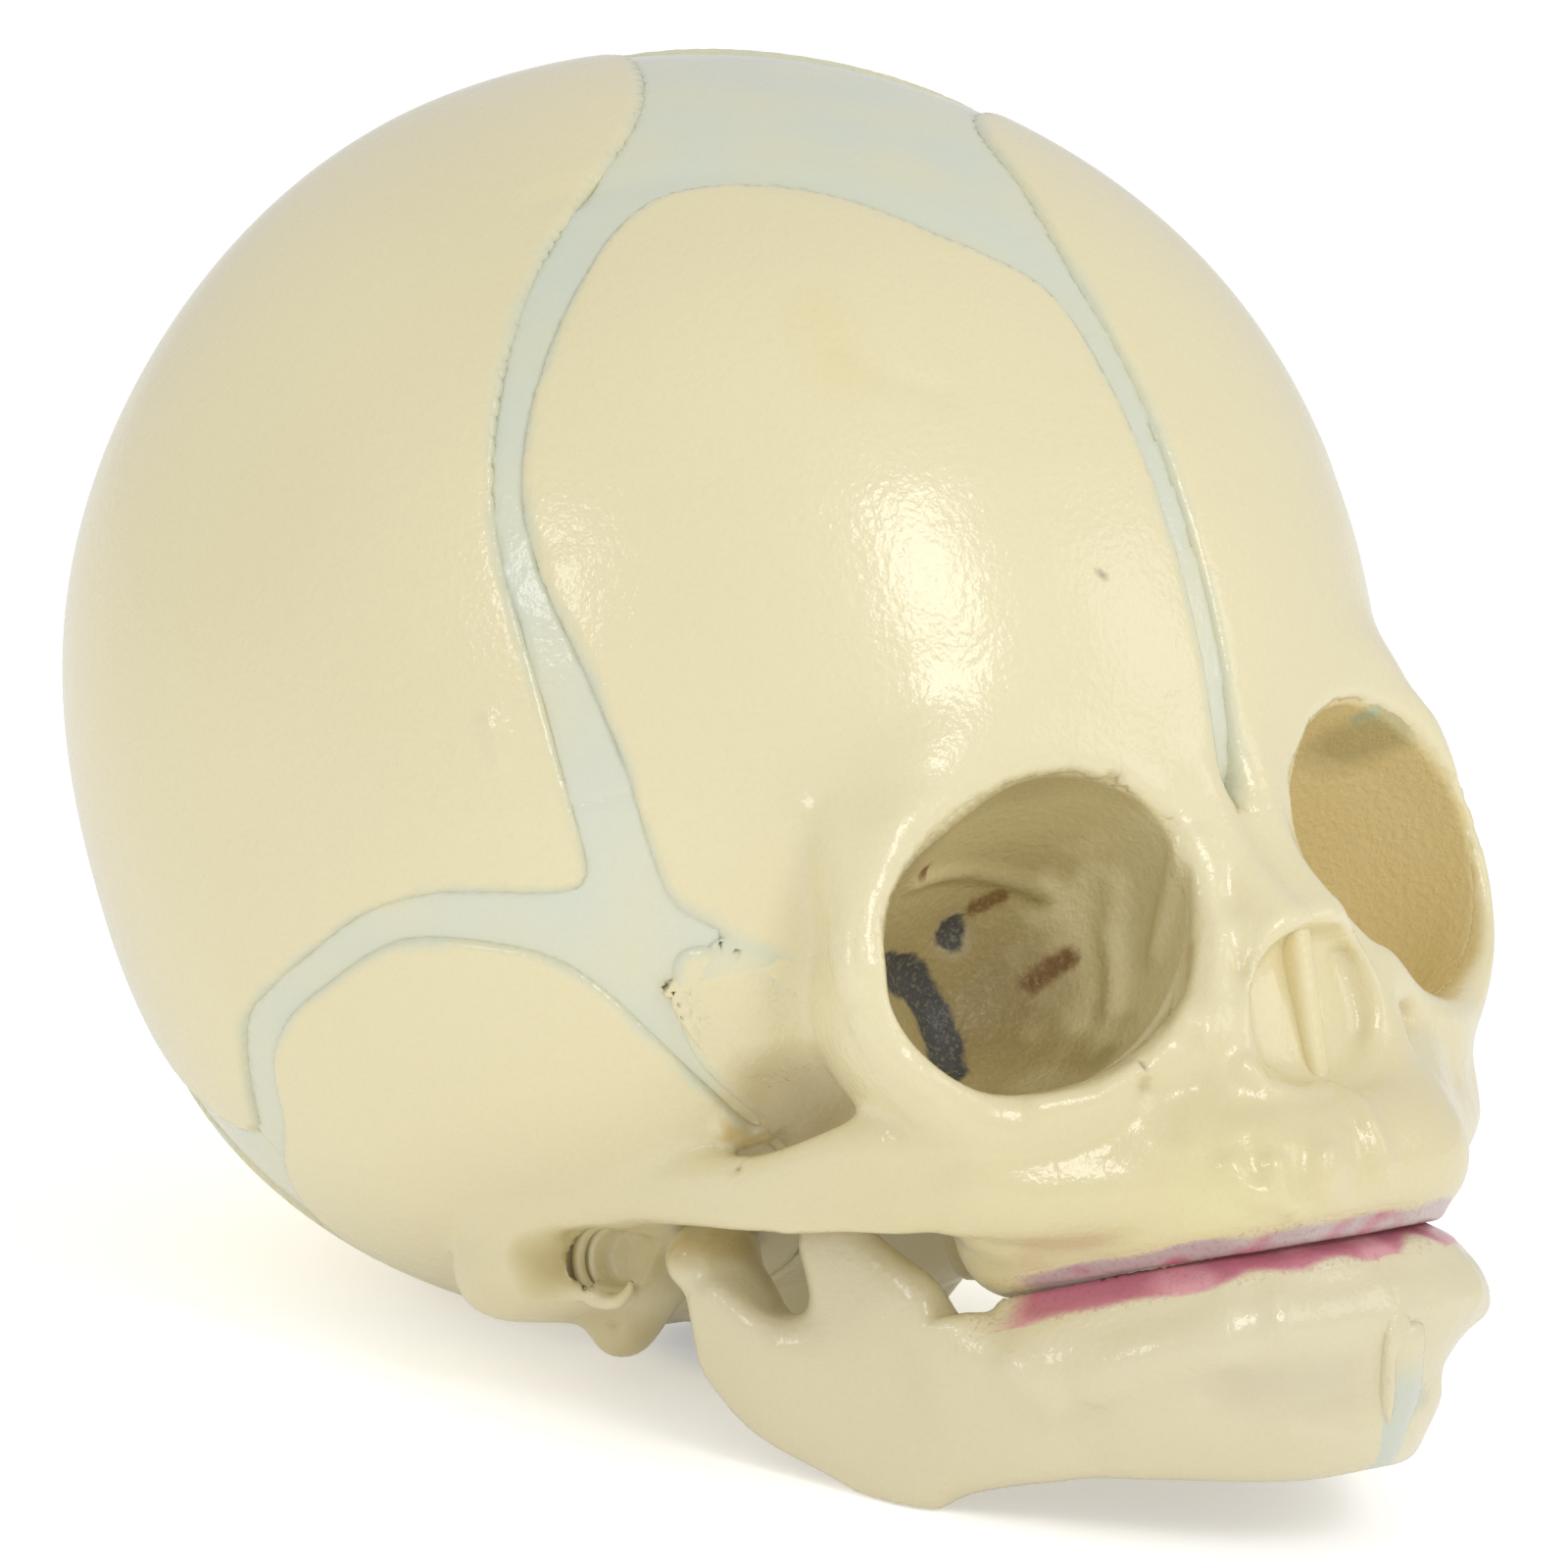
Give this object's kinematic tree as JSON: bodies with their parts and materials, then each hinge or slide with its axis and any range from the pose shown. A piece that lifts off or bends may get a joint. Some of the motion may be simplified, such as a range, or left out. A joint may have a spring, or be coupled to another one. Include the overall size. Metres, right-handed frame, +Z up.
{
  "type": "anatomical skull model",
  "caption": "Newborn skull teaching model with fontanelle membranes between the vault bones, open eye sockets and a hinged lower jaw.",
  "frame": {"origin": "centre of the bounding box's bottom face, on the table under the skull at rest", "axes": "+Z up, face towards -Y, back of the head towards +Y, the skull's left side towards +X"},
  "size_m": [0.0942, 0.1246, 0.0976],
  "materials": {
    "bone": "glossy cream paint",
    "membrane": "glossy pale blue-green paint",
    "socket": "tan brown speckled paint",
    "gum": "glossy pink paint"
  },
  "bodies": {
    "cranium": {"frontal_bone_right": "bone", "frontal_bone_left": "bone", "parietal_bone_right": "bone", "parietal_bone_left": "bone", "occipital_bone": "bone", "skull_base": "bone", "temporal_bone_right": "bone", "temporal_bone_left": "bone", "sphenoid_wing_right": "bone", "sphenoid_wing_left": "bone", "anterior_fontanelle": "membrane", "posterior_fontanelle": "membrane", "lateral_membrane_right": "membrane", "lateral_membrane_left": "membrane", "maxilla_right": "bone", "maxilla_left": "bone", "zygomatic_bone_right": "bone", "zygomatic_bone_left": "bone", "nasal_bone_right": "bone", "nasal_bone_left": "bone", "nasal_septum": "bone", "orbit_lining_right": "socket", "orbit_lining_left": "socket", "tympanic_ring_right": "bone", "tympanic_ring_left": "bone", "upper_gum": "gum"},
    "mandible": {"mandible_right": "bone", "mandible_left": "bone", "mandibular_symphysis": "membrane", "lower_gum": "gum"}
  },
  "joints": [
    {"name": "jaw_hinge", "type": "hinge", "parent": "cranium", "child": "mandible", "pos_m": [0, -0.01386, 0.01409], "axis": [1, 0, 0], "range_deg": [0, 22]}
  ]
}
